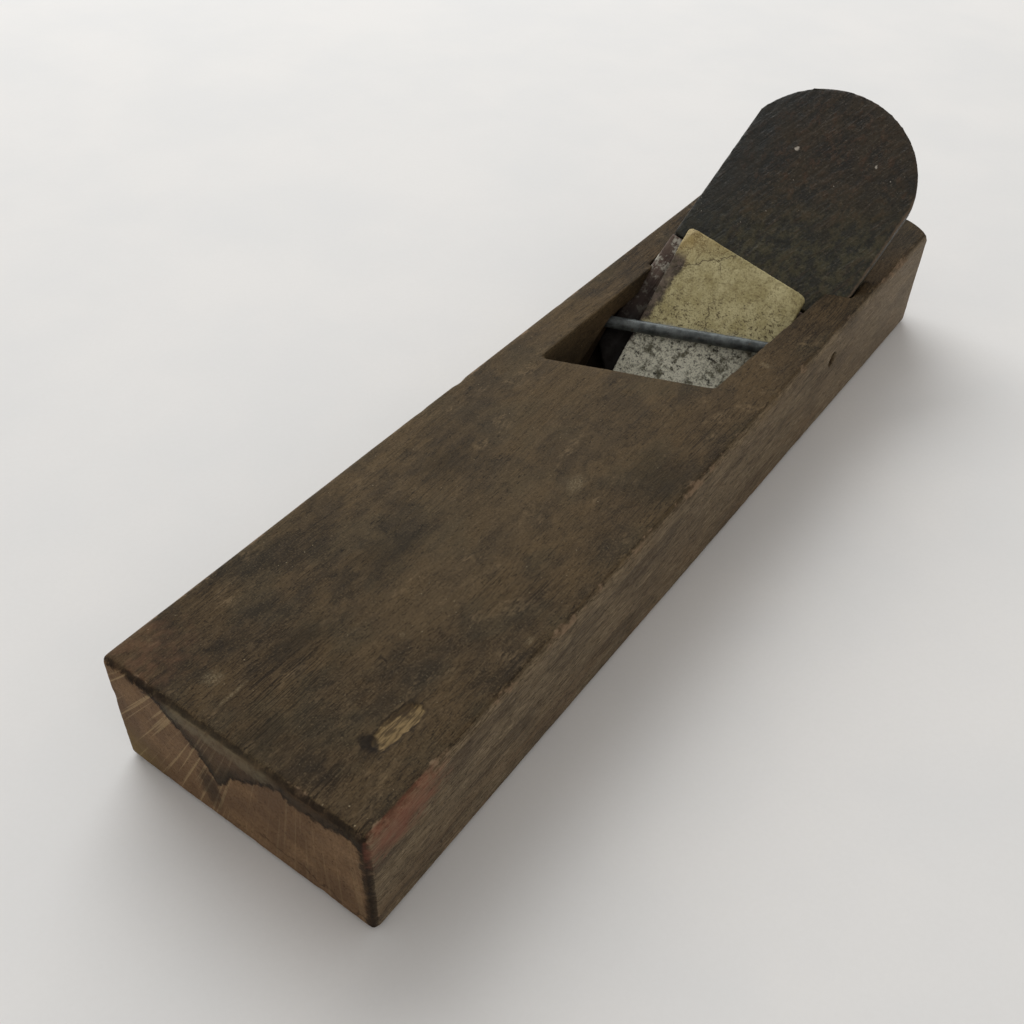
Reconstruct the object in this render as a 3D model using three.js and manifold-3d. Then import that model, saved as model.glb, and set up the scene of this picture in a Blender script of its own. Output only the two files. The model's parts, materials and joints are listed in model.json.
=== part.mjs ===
// A wooden pull plane with a skewed mouth, in millimetres, +Z up.
//
// The origin is the middle of the sole. +Y runs towards the tail of the block, the way the iron leans,
// and +X is to the right for someone who looks along +Y. The plane works towards -Y.
//
// The iron lies in a frame of its own, made by three nested turns: the mouth is skewed in plan, the bed
// is tipped back from the sole, and the iron is turned in its own plane. In that frame +X runs across
// the iron, +Y up it and +Z out of its front face, which is the plane z = 0.

import * as THREE from 'three';
import { mergeVertices } from 'three/addons/utils/BufferGeometryUtils.js';
import Module from 'manifold-3d';

// ---- The block -------------------------------------------------------------------------------------
const BLOCK_LENGTH = 243.6;
const BLOCK_WIDTH = 64;
const BLOCK_HEIGHT = 29.6;
const EDGE_CHAMFER = 1.2;
const TAIL_CHAMFER = 3.2; // top edge of the tail, where the hammer strikes to free the iron

// ---- How the iron lies in the block ----------------------------------------------------------------
const SKEW_ANGLE = 21; // of the mouth in plan: its right end is further back
const BED_ANGLE = 40; // of the iron's front face to the sole, across the mouth
const IRON_TURN = 23; // of the iron in its own plane, so that it runs nearly along the block
const MOUTH_BACK = 27.2; // where the iron's middle line meets the sole, behind the block's middle
const MOUTH_LEFT = 3; // the same point, left of the block's middle

// ---- The iron --------------------------------------------------------------------------------------
const IRON_WIDTH = 49.2;
const IRON_LENGTH = 107.7; // from the middle of the cutting edge to the crown of the head
const IRON_HEAD_THICKNESS = 7;
const IRON_EDGE_THICKNESS = 5.2;
const HEAD_FULLNESS = 1; // the head's radius is this much more than half the iron's width
const HEAD_OFF_CENTRE = 0.45; // the hand-forged crown leans to the left by this much, under the fullness
const BEVEL_ANGLE = 28;
const EDGE_LAND = 0.12; // thickness left along the cutting edge
const EDGE_DRAWN_UP = 1.5; // the edge rests this far up from the sole, along the iron
const EDGE_EAR_HEIGHT = 9; // above the sole, where the edge's ground-off corners start to flare out
const FACING_THICKNESS = 1.6;
const FACING_LENGTH = 48.4; // hard steel, up the iron's middle line from the cutting edge
const HOLLOW_DEPTH = 0.35; // of the hollow ground in the steel's front face
const HOLLOW_MARGIN = 4; // flat steel left round the hollow
const HOLLOW_CORNER = 6;

// ---- The chip breaker ------------------------------------------------------------------------------
const CHIP_BREAKER_ROOM = 2.3; // to each cheek, along the mouth, less its shift to the right
const CHIP_BREAKER_THICKNESS = 1.6;
const CHIP_BREAKER_TOP = 53; // height of its top edge up the iron's middle line, from the sole
const CHIP_BREAKER_RIGHT = 1.66; // its middle line lies this far right of the throat's, at the sole
const CHIP_BREAKER_TILT = 1.5; // its back leans off the iron, so that only the lip and ears touch
const LIP_BEHIND_EDGE = 1; // the lip stops this far short of the cutting edge
const LIP_BEVEL_ANGLE = 24;
const LIP_LAND = 0.3;
const EAR_ALONG_TOP = 3; // from each top corner to its ear's crease, along the top edge
const EAR_DOWN_SIDE = 6; // and down the side
const EAR_BEND = 26;
const EAR_ROOT = 0.2; // of the ear buried in the plate
const CORNER_CUT = 0.8; // off each top corner

// ---- The throat ------------------------------------------------------------------------------------
const GROOVE_COVER = 4.7; // of each side of the iron that the cheeks cover, at the sole
const THROAT_SHIFT = 1.6; // the throat's middle lies this far right of the iron's, at the sole
const THROAT_FLARE = 3.4; // the right cheek is not quite straight: degrees, opening to the tail
const THROAT_RUN = 15.5; // the throat's front edge on top stands this far ahead of the iron's line
const MOUTH_GAP = 1.3; // between the front wall and the iron's front face, at the sole
const GROOVE_FLOOR = 3; // height at which the iron's grooves stop, so that the sole stays whole

// The left cheek is pared away beside the lip, to let the chip breaker's corner and the chips past.
const PARING_DEPTH = 3;
const PARING_CHAMFER = 1.3;
const PARING_OVER_PIN = 0.4; // wood-free height over the pin, along the paring's level upper edge
const PARING_KNEE = 2.4; // ahead of the pin, where that edge turns down
const PARING_SLOPE = 26;

// ---- The pin ---------------------------------------------------------------------------------------
const PIN_DIAMETER = 3.4;
const PIN_UP_BED = 26.9; // up the bed from the sole, square to the mouth
const PIN_RECESS = 2; // of the pin's right end in its hole
const PIN_BLIND_COVER = 3; // wood left beyond the hole's blind left end
const PIN_POINT = 1; // chamfer on each end
const PIN_SIDES = 24;

// ---- Clearances ------------------------------------------------------------------------------------
const SLIDE_GAP = 0.3; // round the iron in its grooves, and between the iron, chip breaker and pin
const SEAM_GAP = 0.3; // between the iron's two forged layers
const PIN_GAP = 0.2; // round the pin in its hole

// ---- Materials -------------------------------------------------------------------------------------
function material(color, roughness, metalness) {
  return new THREE.MeshStandardMaterial({ color, roughness, metalness });
}
const oak = material(0x5d4a3b, 0.75, 0);
const forgedIron = material(0x3a332e, 0.6, 0.7);
const hardSteel = material(0x8b8884, 0.45, 0.85);
const lacqueredSteel = material(0xb3a878, 0.5, 0.5);
const wire = material(0x6d757c, 0.45, 0.85);

// ---- Solid modelling -------------------------------------------------------------------------------
const wasm = await Module();
wasm.setup();

const REACH = 600; // larger than anything here: half-spaces are boxes of this size
const SAME_POINT = 1e-4; // corners nearer than this are one corner
const HEAD_STEPS = 30; // straight pieces in the head's curve
const ARC_STEPS = 8; // and in a small rounded corner
const up = new THREE.Vector3(0, 0, 1);

function solidFrom(geometry, matrix = new THREE.Matrix4()) {
  const moved = geometry.clone().applyMatrix4(matrix);
  moved.deleteAttribute('normal');
  moved.deleteAttribute('uv');
  const merged = mergeVertices(moved, SAME_POINT);
  return new wasm.Manifold(
    new wasm.Mesh({
      numProp: 3,
      vertProperties: new Float32Array(merged.attributes.position.array),
      triVerts: new Uint32Array(merged.index.array),
    }),
  );
}

function geometryFrom(solid) {
  const data = solid.getMesh();
  const geometry = new THREE.BufferGeometry();
  geometry.setAttribute('position', new THREE.BufferAttribute(data.vertProperties, 3));
  geometry.setIndex(new THREE.BufferAttribute(data.triVerts, 1));
  geometry.computeVertexNormals();
  return geometry;
}

// Everything on the side of a plane that its normal points to.
function halfSpace(point, normal) {
  const direction = normal.clone().normalize();
  const matrix = new THREE.Matrix4().makeRotationFromQuaternion(
    new THREE.Quaternion().setFromUnitVectors(up, direction),
  );
  matrix.setPosition(point.clone().addScaledVector(direction, REACH / 2));
  return solidFrom(new THREE.BoxGeometry(REACH, REACH, REACH), matrix);
}

// A closed outline in the xy plane, raised from one height to another.
function prism(outline, low, high, matrix = new THREE.Matrix4()) {
  const geometry = new THREE.ExtrudeGeometry(outline, { depth: high - low, bevelEnabled: false });
  geometry.translate(0, 0, low);
  return solidFrom(geometry, matrix);
}

function polygon(points) {
  return new THREE.Shape(points.map(([x, y]) => new THREE.Vector2(x, y)));
}

function degrees(angle) {
  return THREE.MathUtils.degToRad(angle);
}

// ---- Frames ----------------------------------------------------------------------------------------
const plane = new THREE.Group();
const mouthFrame = new THREE.Group();
mouthFrame.position.set(-MOUTH_LEFT, MOUTH_BACK, 0);
mouthFrame.rotation.z = degrees(SKEW_ANGLE);
const bedFrame = new THREE.Group();
bedFrame.rotation.x = degrees(BED_ANGLE);
const ironFrame = new THREE.Group();
ironFrame.rotation.z = -degrees(IRON_TURN);
plane.add(mouthFrame);
mouthFrame.add(bedFrame);
bedFrame.add(ironFrame);
plane.updateMatrixWorld(true);

const mouthToBlock = mouthFrame.matrixWorld;
const bedToBlock = bedFrame.matrixWorld;
const ironToBlock = ironFrame.matrixWorld;
const blockToIron = ironToBlock.clone().invert();
const blockToBed = bedToBlock.clone().invert();
const mouth = new THREE.Vector3().setFromMatrixPosition(ironToBlock);
const frontFace = new THREE.Vector3(0, 0, 1).transformDirection(ironToBlock); // its normal, in the block

// The point of the iron's front face at a given x and height in the block, given in the iron's frame.
function frontFacePoint(x, height) {
  const y = mouth.y - ((x - mouth.x) * frontFace.x + height * frontFace.z) / frontFace.y;
  return new THREE.Vector3(x, y, height).applyMatrix4(blockToIron);
}

// ---- The throat's sides ----------------------------------------------------------------------------
const throatMiddle = THROAT_SHIFT - MOUTH_LEFT;
const throatHalf = IRON_WIDTH / 2 - GROOVE_COVER;
const leftCheek = throatMiddle - throatHalf;
const rightCheek = throatMiddle + throatHalf;
const flare = Math.tan(degrees(THROAT_FLARE));
const throatPlan = polygon([
  [leftCheek, -BLOCK_LENGTH],
  [rightCheek - flare * (MOUTH_BACK + BLOCK_LENGTH), -BLOCK_LENGTH],
  [rightCheek + flare * (BLOCK_LENGTH - MOUTH_BACK), BLOCK_LENGTH],
  [leftCheek, BLOCK_LENGTH],
]);
const betweenCheeks = prism(throatPlan, -BLOCK_HEIGHT, 2 * BLOCK_HEIGHT);

// ---- The iron's outline and wedge ------------------------------------------------------------------
const halfIron = IRON_WIDTH / 2;
const edgeSlope = Math.tan(degrees(IRON_TURN)); // the cutting edge lies level, across the turned iron
const crownHeight = EDGE_DRAWN_UP + IRON_LENGTH;

// One ground-off corner: up beside the cheek, then out to the iron's side at forty-five degrees. The
// iron leans, so its back lies further left than its front and needs more room beside the left cheek.
function groundCorner(cheek, side) {
  const leaning = side < 0 ? IRON_EDGE_THICKNESS * frontFace.x : 0;
  const x = cheek - side * (2 * SLIDE_GAP + leaning);
  const foot = frontFacePoint(x, 0);
  const flareStart = frontFacePoint(x, EDGE_EAR_HEIGHT);
  return [
    [foot.x, EDGE_DRAWN_UP + foot.x * edgeSlope],
    [flareStart.x, flareStart.y],
    [side * halfIron, flareStart.y + Math.abs(side * halfIron - flareStart.x)],
  ];
}

function ironOutline() {
  const left = groundCorner(leftCheek, -1);
  const right = groundCorner(rightCheek, 1);
  const centreX = -HEAD_OFF_CENTRE;
  const radius = halfIron + HEAD_FULLNESS;
  const centreY = crownHeight - radius;
  const rightStart = Math.acos((halfIron - centreX) / radius);
  const leftEnd = Math.PI - Math.acos((halfIron + centreX) / radius);
  const outline = new THREE.Shape();
  outline.moveTo(...left[0]);
  outline.lineTo(...right[0]);
  outline.lineTo(...right[1]);
  outline.lineTo(...right[2]);
  outline.lineTo(halfIron, centreY + radius * Math.sin(rightStart));
  outline.absarc(centreX, centreY, radius, rightStart, leftEnd, false);
  outline.lineTo(...left[2]);
  outline.lineTo(...left[1]);
  outline.closePath();
  return new THREE.Shape(outline.getPoints(HEAD_STEPS));
}

function ironThickness(height) {
  const share = (height - EDGE_DRAWN_UP) / IRON_LENGTH;
  return IRON_EDGE_THICKNESS + (IRON_HEAD_THICKNESS - IRON_EDGE_THICKNESS) * share;
}

// The iron's tapered section as a bar of a given width, grown by a gap on every face.
function wedgeBar(width, gap, low, high) {
  const side = polygon([
    [low, gap],
    [low, -ironThickness(low) - gap],
    [high, -ironThickness(high) - gap],
    [high, gap],
  ]);
  const sideways = new THREE.Matrix4().makeBasis(
    new THREE.Vector3(0, 1, 0),
    new THREE.Vector3(0, 0, 1),
    new THREE.Vector3(1, 0, 0),
  );
  return prism(side, -width / 2 - gap, width / 2 + gap, sideways);
}

// The bevel runs along the cutting edge, which lies along the bed frame's x.
function bevelSpace() {
  const angle = degrees(BEVEL_ANGLE);
  const along = degrees(IRON_TURN);
  const upFromEdge = new THREE.Vector3(-Math.sin(along), Math.cos(along), 0);
  const normal = upFromEdge.multiplyScalar(-Math.sin(angle)).add(new THREE.Vector3(0, 0, -Math.cos(angle)));
  return halfSpace(new THREE.Vector3(0, EDGE_DRAWN_UP, -EDGE_LAND), normal);
}

function ironBlank() {
  return prism(ironOutline(), -2 * IRON_HEAD_THICKNESS, 0)
    .intersect(wedgeBar(2 * IRON_WIDTH, 0, -REACH / 4, REACH / 2))
    .subtract(bevelSpace());
}

function facingZone(depth, top) {
  const low = -REACH / 4;
  const half = IRON_WIDTH;
  return prism(polygon([[-half, low], [half, low], [half, top], [-half, top]]), -depth, depth);
}

function hollowGrinding() {
  const top = EDGE_DRAWN_UP + FACING_LENGTH - HOLLOW_MARGIN;
  const reach = halfIron - HOLLOW_MARGIN;
  const low = EDGE_DRAWN_UP + 2 * HOLLOW_MARGIN;
  const corner = HOLLOW_CORNER;
  const outline = new THREE.Shape();
  outline.moveTo(-reach, low - reach * edgeSlope);
  outline.lineTo(reach, low + reach * edgeSlope);
  outline.lineTo(reach, top - corner);
  outline.absarc(reach - corner, top - corner, corner, 0, Math.PI / 2, false);
  outline.absarc(corner - reach, top - corner, corner, Math.PI / 2, Math.PI, false);
  outline.closePath();
  return prism(new THREE.Shape(outline.getPoints(ARC_STEPS)), -HOLLOW_DEPTH, HOLLOW_DEPTH);
}

function makeIron() {
  const blank = ironBlank();
  const top = EDGE_DRAWN_UP + FACING_LENGTH;
  const facing = blank.intersect(facingZone(FACING_THICKNESS, top)).subtract(hollowGrinding());
  const back = blank.subtract(facingZone(FACING_THICKNESS + SEAM_GAP, top + SEAM_GAP));
  return { facing, back };
}

// ---- The chip breaker, in the bed frame ------------------------------------------------------------
// Its lip lies along the bed frame's x and its sides run between the cheeks.
const lipHeight = (EDGE_DRAWN_UP + LIP_BEHIND_EDGE) * Math.cos(degrees(IRON_TURN));
const cheekRun = new THREE.Vector3(0, 1, -frontFace.y / frontFace.z).transformDirection(blockToBed);
const sideLean = cheekRun.x / cheekRun.y;

// Height in the bed frame of the top edge, which is square to the iron.
function topEdge(x) {
  const turn = degrees(IRON_TURN);
  return CHIP_BREAKER_TOP / Math.cos(turn) - x * Math.tan(turn);
}

// Where a side that starts at x on the sole line meets the top edge.
function topCorner(x) {
  const turn = Math.tan(degrees(IRON_TURN));
  const height = (topEdge(0) - x * turn) / (1 + sideLean * turn);
  return [x + sideLean * height, height];
}

const chipBreakerMiddle = (throatMiddle - mouth.x) / Math.cos(degrees(SKEW_ANGLE)) + CHIP_BREAKER_RIGHT;
const chipBreakerHalf = throatHalf / Math.cos(degrees(SKEW_ANGLE)) - CHIP_BREAKER_ROOM;

function chipBreakerSide(side) {
  const x = chipBreakerMiddle + side * chipBreakerHalf;
  return { foot: [x + sideLean * lipHeight, lipHeight], top: topCorner(x) };
}

function backHeight(height) {
  return SLIDE_GAP + (height - lipHeight) * Math.tan(degrees(CHIP_BREAKER_TILT));
}

// Everything in front of the chip breaker's tilted front face.
function frontOfPlate() {
  const tilt = degrees(CHIP_BREAKER_TILT);
  const foot = new THREE.Vector3(0, lipHeight, SLIDE_GAP + CHIP_BREAKER_THICKNESS);
  return halfSpace(foot, new THREE.Vector3(0, -Math.sin(tilt), Math.cos(tilt)));
}

// A plate with the given outline in plan, between the chip breaker's tilted back and front faces.
function tiltedPlate(outline) {
  const tilt = degrees(CHIP_BREAKER_TILT);
  const foot = new THREE.Vector3(0, lipHeight, SLIDE_GAP);
  const back = halfSpace(foot, new THREE.Vector3(0, Math.sin(tilt), -Math.cos(tilt)));
  return prism(outline, -BLOCK_HEIGHT, BLOCK_HEIGHT).subtract(back).subtract(frontOfPlate());
}

// The plate's outline in the bed frame, with its two top corners cut off a little.
function plateOutline() {
  const left = chipBreakerSide(-1);
  const right = chipBreakerSide(1);
  return polygon([
    left.foot,
    right.foot,
    stepTo(right.top, right.foot, CORNER_CUT),
    stepTo(right.top, left.top, CORNER_CUT),
    stepTo(left.top, right.top, CORNER_CUT),
    stepTo(left.top, left.foot, CORNER_CUT),
  ]);
}

// The point at a given distance from one point towards another.
function stepTo(from, to, distance) {
  const share = distance / Math.hypot(to[0] - from[0], to[1] - from[1]);
  return [from[0] + (to[0] - from[0]) * share, from[1] + (to[1] - from[1]) * share];
}

// One ear is a top corner of the plate, folded towards the iron along a slanting crease. This gives the
// crease's frame: X out to the corner, Y along the crease and Z out of the plate's front.
function crease(side) {
  const near = chipBreakerSide(side);
  const far = chipBreakerSide(-side);
  const onBack = ([x, y]) => new THREE.Vector3(x, y, backHeight(y));
  const low = onBack(stepTo(near.top, near.foot, EAR_DOWN_SIDE));
  const high = onBack(stepTo(near.top, far.top, EAR_ALONG_TOP));
  const tilt = degrees(CHIP_BREAKER_TILT);
  const front = new THREE.Vector3(0, -Math.sin(tilt), Math.cos(tilt));
  const out = high.clone().sub(low).cross(front).multiplyScalar(side).normalize();
  const frame = new THREE.Matrix4().makeBasis(out, front.clone().cross(out), front);
  frame.setPosition(low);
  return { frame, low, high, out, corner: onBack(near.top) };
}

function ear(side) {
  const { frame, high, corner } = crease(side);
  const toCrease = frame.clone().invert();
  const end = high.clone().applyMatrix4(toCrease);
  const tip = corner.clone().applyMatrix4(toCrease);
  const root = -(CHIP_BREAKER_THICKNESS * Math.tan(degrees(EAR_BEND)) + EAR_ROOT);
  const outline = polygon([[root, 0], [0, 0], [tip.x, tip.y], [0, end.y], [root, end.y]]);
  const bent = frame.clone().multiply(new THREE.Matrix4().makeRotationY(degrees(EAR_BEND)));
  return prism(outline, 0, CHIP_BREAKER_THICKNESS, bent);
}

function makeChipBreaker() {
  const bevel = degrees(LIP_BEVEL_ANGLE);
  const lipBevel = halfSpace(
    new THREE.Vector3(0, lipHeight, SLIDE_GAP + LIP_LAND),
    new THREE.Vector3(0, -Math.sin(bevel), Math.cos(bevel)),
  );
  let plate = tiltedPlate(plateOutline());
  for (const side of [-1, 1]) {
    const { low, out } = crease(side);
    plate = plate.subtract(halfSpace(low, out)).add(ear(side));
  }
  return plate
    .intersect(prism(plateOutline(), -BLOCK_HEIGHT, BLOCK_HEIGHT))
    .subtract(frontOfPlate())
    .subtract(lipBevel);
}

// ---- The pin ---------------------------------------------------------------------------------------
// It runs along the bed frame's x, and just clears the chip breaker's front face.
const pinRadius = PIN_DIAMETER / 2;
const pinOut = backHeight(PIN_UP_BED) + CHIP_BREAKER_THICKNESS + SLIDE_GAP + pinRadius;
const pinInBlock = new THREE.Vector3(0, PIN_UP_BED, pinOut).applyMatrix4(bedToBlock);
const acrossBlock = Math.cos(degrees(SKEW_ANGLE));
const pinLeft = (PIN_BLIND_COVER - BLOCK_WIDTH / 2 - pinInBlock.x) / acrossBlock;
const pinRight = (BLOCK_WIDTH / 2 - PIN_RECESS - pinInBlock.x) / acrossBlock;

// A round bar along the pin's line, with a chamfer on each end.
function roundBar(radius, left, right) {
  const profile = [
    new THREE.Vector2(0, left),
    new THREE.Vector2(radius - PIN_POINT, left),
    new THREE.Vector2(radius, left + PIN_POINT),
    new THREE.Vector2(radius, right - PIN_POINT),
    new THREE.Vector2(radius - PIN_POINT, right),
    new THREE.Vector2(0, right),
  ];
  const geometry = new THREE.LatheGeometry(profile, PIN_SIDES);
  geometry.rotateZ(-Math.PI / 2);
  geometry.translate(0, PIN_UP_BED, pinOut);
  return geometry;
}

// ---- The block -------------------------------------------------------------------------------------
// The wood outside a plane that cuts a leg of the given length off both faces beside one edge.
function edgeWood(x, y, z, leg) {
  const point = new THREE.Vector3(
    (x * BLOCK_WIDTH) / 2,
    (y * BLOCK_LENGTH) / 2,
    BLOCK_HEIGHT / 2 + (z * BLOCK_HEIGHT) / 2,
  );
  const normal = new THREE.Vector3(x, y, z).normalize();
  point.addScaledVector(normal, (-leg * Math.SQRT2) / 2);
  return halfSpace(point, normal);
}

function makeBlank() {
  const box = new THREE.BoxGeometry(BLOCK_WIDTH, BLOCK_LENGTH, BLOCK_HEIGHT);
  let blank = solidFrom(box, new THREE.Matrix4().setPosition(0, 0, BLOCK_HEIGHT / 2));
  for (const a of [-1, 1]) {
    for (const b of [-1, 1]) {
      blank = blank.subtract(edgeWood(a, b, 0, EDGE_CHAMFER));
      blank = blank.subtract(edgeWood(a, 0, b, EDGE_CHAMFER));
      blank = blank.subtract(edgeWood(0, a, b, EDGE_CHAMFER));
    }
  }
  return blank.subtract(edgeWood(0, 1, 1, TAIL_CHAMFER));
}

// The open space ahead of the iron's front face, back from the sloping front wall.
function aheadOfIron() {
  const run = THROAT_RUN - MOUTH_GAP;
  const frontWall = halfSpace(
    new THREE.Vector3(0, -MOUTH_GAP, 0).applyMatrix4(mouthToBlock),
    new THREE.Vector3(0, -BLOCK_HEIGHT, -run).transformDirection(mouthToBlock),
  );
  const everything = solidFrom(new THREE.BoxGeometry(REACH, REACH, REACH));
  return everything.subtract(halfSpace(mouth, frontFace.clone().negate())).subtract(frontWall);
}

// The iron's way through the block: two grooves above their floor, and the mouth between the cheeks.
function ironWay() {
  const bar = solidFrom(geometryFrom(wedgeBar(IRON_WIDTH, SLIDE_GAP, -REACH / 4, REACH / 4)), ironToBlock);
  const floor = halfSpace(new THREE.Vector3(0, 0, GROOVE_FLOOR), new THREE.Vector3(0, 0, -1));
  return bar.subtract(floor).add(bar.intersect(betweenCheeks));
}

// The hollow pared out of the left cheek below the pin, with a chamfer round its rim.
function paring() {
  const pinY = pinInBlock.y - (pinInBlock.x - leftCheek) * Math.tan(degrees(SKEW_ANGLE));
  const top = pinInBlock.z + pinRadius + PARING_OVER_PIN;
  const knee = pinY - PARING_KNEE;
  const reach = (top - GROOVE_FLOOR) / Math.tan(degrees(PARING_SLOPE));
  const outline = polygon([
    [knee - reach, GROOVE_FLOOR],
    [pinY + BLOCK_HEIGHT, GROOVE_FLOOR],
    [pinY + BLOCK_HEIGHT, top],
    [knee, top],
  ]);
  const rim = new THREE.ExtrudeGeometry(outline, {
    depth: PARING_CHAMFER,
    bevelEnabled: true,
    bevelSegments: 1,
    bevelSize: PARING_CHAMFER,
    bevelThickness: PARING_CHAMFER,
  });
  const intoCheek = new THREE.Matrix4().makeBasis(
    new THREE.Vector3(0, 1, 0),
    new THREE.Vector3(0, 0, 1),
    new THREE.Vector3(1, 0, 0),
  );
  intoCheek.setPosition(leftCheek, 0, 0);
  return prism(outline, -PARING_DEPTH, PARING_CHAMFER, intoCheek).add(solidFrom(rim, intoCheek));
}

function makeBlock() {
  const open = aheadOfIron();
  const hole = roundBar(pinRadius + PIN_GAP, pinLeft - PIN_GAP, pinRight + BLOCK_WIDTH / 2);
  return makeBlank()
    .subtract(betweenCheeks.intersect(open))
    .subtract(ironWay())
    .subtract(paring().intersect(open))
    .subtract(solidFrom(hole, bedToBlock));
}

// ---- The assembly ----------------------------------------------------------------------------------
function addPart(group, name, geometry, look) {
  const mesh = new THREE.Mesh(geometry, look);
  mesh.name = name;
  group.add(mesh);
}

const iron = makeIron();
addPart(plane, 'plane_body', geometryFrom(makeBlock()), oak);
addPart(ironFrame, 'iron_body', geometryFrom(iron.back), forgedIron);
addPart(ironFrame, 'iron_steel_facing', geometryFrom(iron.facing), hardSteel);
addPart(bedFrame, 'chip_breaker', geometryFrom(makeChipBreaker()), lacqueredSteel);
addPart(bedFrame, 'cross_pin', roundBar(pinRadius, pinLeft, pinRight), wire);

export default plane;
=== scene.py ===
"""A worn wooden pull plane with a skewed mouth: the looks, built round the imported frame.

Shapes are worked out in millimetres, and go into the scene in metres. The frame is the part's own:
the origin is the middle of the sole, +Y runs to the tail and +X is to the right.
"""

import json
import math

import bmesh
import bpy
import numpy as np
from mathutils import Matrix, Vector


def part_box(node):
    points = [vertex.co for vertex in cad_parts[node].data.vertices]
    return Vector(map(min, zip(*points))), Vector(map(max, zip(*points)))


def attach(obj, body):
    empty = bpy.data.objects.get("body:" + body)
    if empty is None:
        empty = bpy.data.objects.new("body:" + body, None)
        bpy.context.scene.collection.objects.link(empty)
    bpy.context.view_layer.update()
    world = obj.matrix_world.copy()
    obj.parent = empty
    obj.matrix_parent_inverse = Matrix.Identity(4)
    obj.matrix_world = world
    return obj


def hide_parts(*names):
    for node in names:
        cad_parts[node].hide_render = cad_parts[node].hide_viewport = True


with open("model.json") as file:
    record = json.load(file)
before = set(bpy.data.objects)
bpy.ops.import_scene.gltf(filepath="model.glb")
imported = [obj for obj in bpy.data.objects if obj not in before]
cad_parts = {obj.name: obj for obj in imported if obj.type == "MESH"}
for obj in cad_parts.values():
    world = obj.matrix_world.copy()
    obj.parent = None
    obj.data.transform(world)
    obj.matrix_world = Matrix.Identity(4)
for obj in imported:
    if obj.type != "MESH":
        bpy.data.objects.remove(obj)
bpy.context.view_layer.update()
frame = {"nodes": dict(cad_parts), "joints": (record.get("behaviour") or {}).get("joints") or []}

MM = 0.001

# ---- The view ----------------------------------------------------------------------------------------
CAMERA_PLACE = (103.4, -189.6, 192.4)
CAMERA_AIM = (-0.5, -36.9, 20.0)
CAMERA_ROLL = 2.25  # degrees
CAMERA_LENS = 40.5
CAMERA_SENSOR = 36
CAMERA_CLIP = (0.01, 20)  # metres

# ---- Sizes of the block, from the frame --------------------------------------------------------------
block_low, block_high = (np.array(corner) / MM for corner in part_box("plane_body"))
BLOCK_HALF = (block_high - block_low) / 2
BLOCK_MIDDLE = (block_high + block_low) / 2
TOP = block_high[2]
RIGHT = block_high[0]
FRONT = block_low[1]
TAIL = block_high[1]
pin_low, pin_high = (np.array(corner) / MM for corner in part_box("cross_pin"))
PIN_HEIGHT = (pin_low[2] + pin_high[2]) / 2


# ---- The iron's directions, from its joint and the chip breaker's --------------------------------------
def joint_axis(name):
    joint = next(j for j in frame["joints"] if j["name"] == name)
    return np.array(joint["axis"], float)


UP_IRON = joint_axis("iron_slide")
OUT_OF_IRON = np.cross(UP_IRON, joint_axis("chip_breaker_slide"))
OUT_OF_IRON /= np.linalg.norm(OUT_OF_IRON)
ACROSS_IRON = np.cross(UP_IRON, OUT_OF_IRON)


# ---- Meshes ------------------------------------------------------------------------------------------
SAME_POINT = 0.001  # corners of a CAD mesh nearer than this are one corner


def points_of(obj):
    """A mesh's points, in millimetres."""
    co = np.empty(len(obj.data.vertices) * 3, np.float32)
    obj.data.vertices.foreach_get("co", co)
    return co.reshape(-1, 3).astype(float) / MM


def put_points(obj, points):
    obj.data.vertices.foreach_set("co", (points * MM).astype(np.float32).ravel())
    obj.data.update()


def normals_of(obj):
    normals = np.empty(len(obj.data.vertices) * 3, np.float32)
    obj.data.vertices.foreach_get("normal", normals)
    return normals.reshape(-1, 3).astype(float)


def edges_of(obj):
    edges = np.empty(len(obj.data.edges) * 2, np.int32)
    obj.data.edges.foreach_get("vertices", edges)
    return edges.reshape(-1, 2)


def put_attribute(obj, name, values):
    attribute = obj.data.attributes.new(name, "FLOAT", "POINT")
    attribute.data.foreach_set("value", values.astype(np.float32))


def neighbour_average(points, edges):
    """The middle of each point's neighbours."""
    ends = edges.ravel()
    others = edges[:, ::-1].ravel()
    count = np.bincount(ends, minlength=len(points))
    columns = [np.bincount(ends, weights=points[others, k], minlength=len(points)) for k in range(3)]
    return np.stack(columns, 1) / np.maximum(count, 1)[:, None]


def remeshed(node, name, voxel):
    """A new piece with a CAD node's shape in an even fine mesh."""
    piece = bpy.data.objects.new(name, frame["nodes"][node].data.copy())
    bpy.context.scene.collection.objects.link(piece)
    welded = bmesh.new()
    welded.from_mesh(piece.data)
    bmesh.ops.remove_doubles(welded, verts=welded.verts, dist=SAME_POINT * MM)
    welded.to_mesh(piece.data)
    welded.free()
    modifier = piece.modifiers.new("remesh", "REMESH")
    modifier.mode = "VOXEL"
    modifier.voxel_size = voxel * MM
    bpy.context.view_layer.update()
    graph = bpy.context.evaluated_depsgraph_get()
    fine = bpy.data.meshes.new_from_object(piece.evaluated_get(graph))
    piece.modifiers.clear()
    piece.data = fine
    for polygon in fine.polygons:
        polygon.use_smooth = True
    return piece


def smooth_step(value, low, high):
    t = np.clip((value - low) / (high - low), 0, 1)
    return t * t * (3 - 2 * t)


LATTICE_SIZE = 48
LATTICE = np.random.default_rng(11).random((LATTICE_SIZE,) * 3)
LATTICE_MIDDLE = 1000  # keeps every place that is looked up above 0
PLACE_STEP = 17.3  # how far apart two numbered fields of lumps lie


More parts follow.
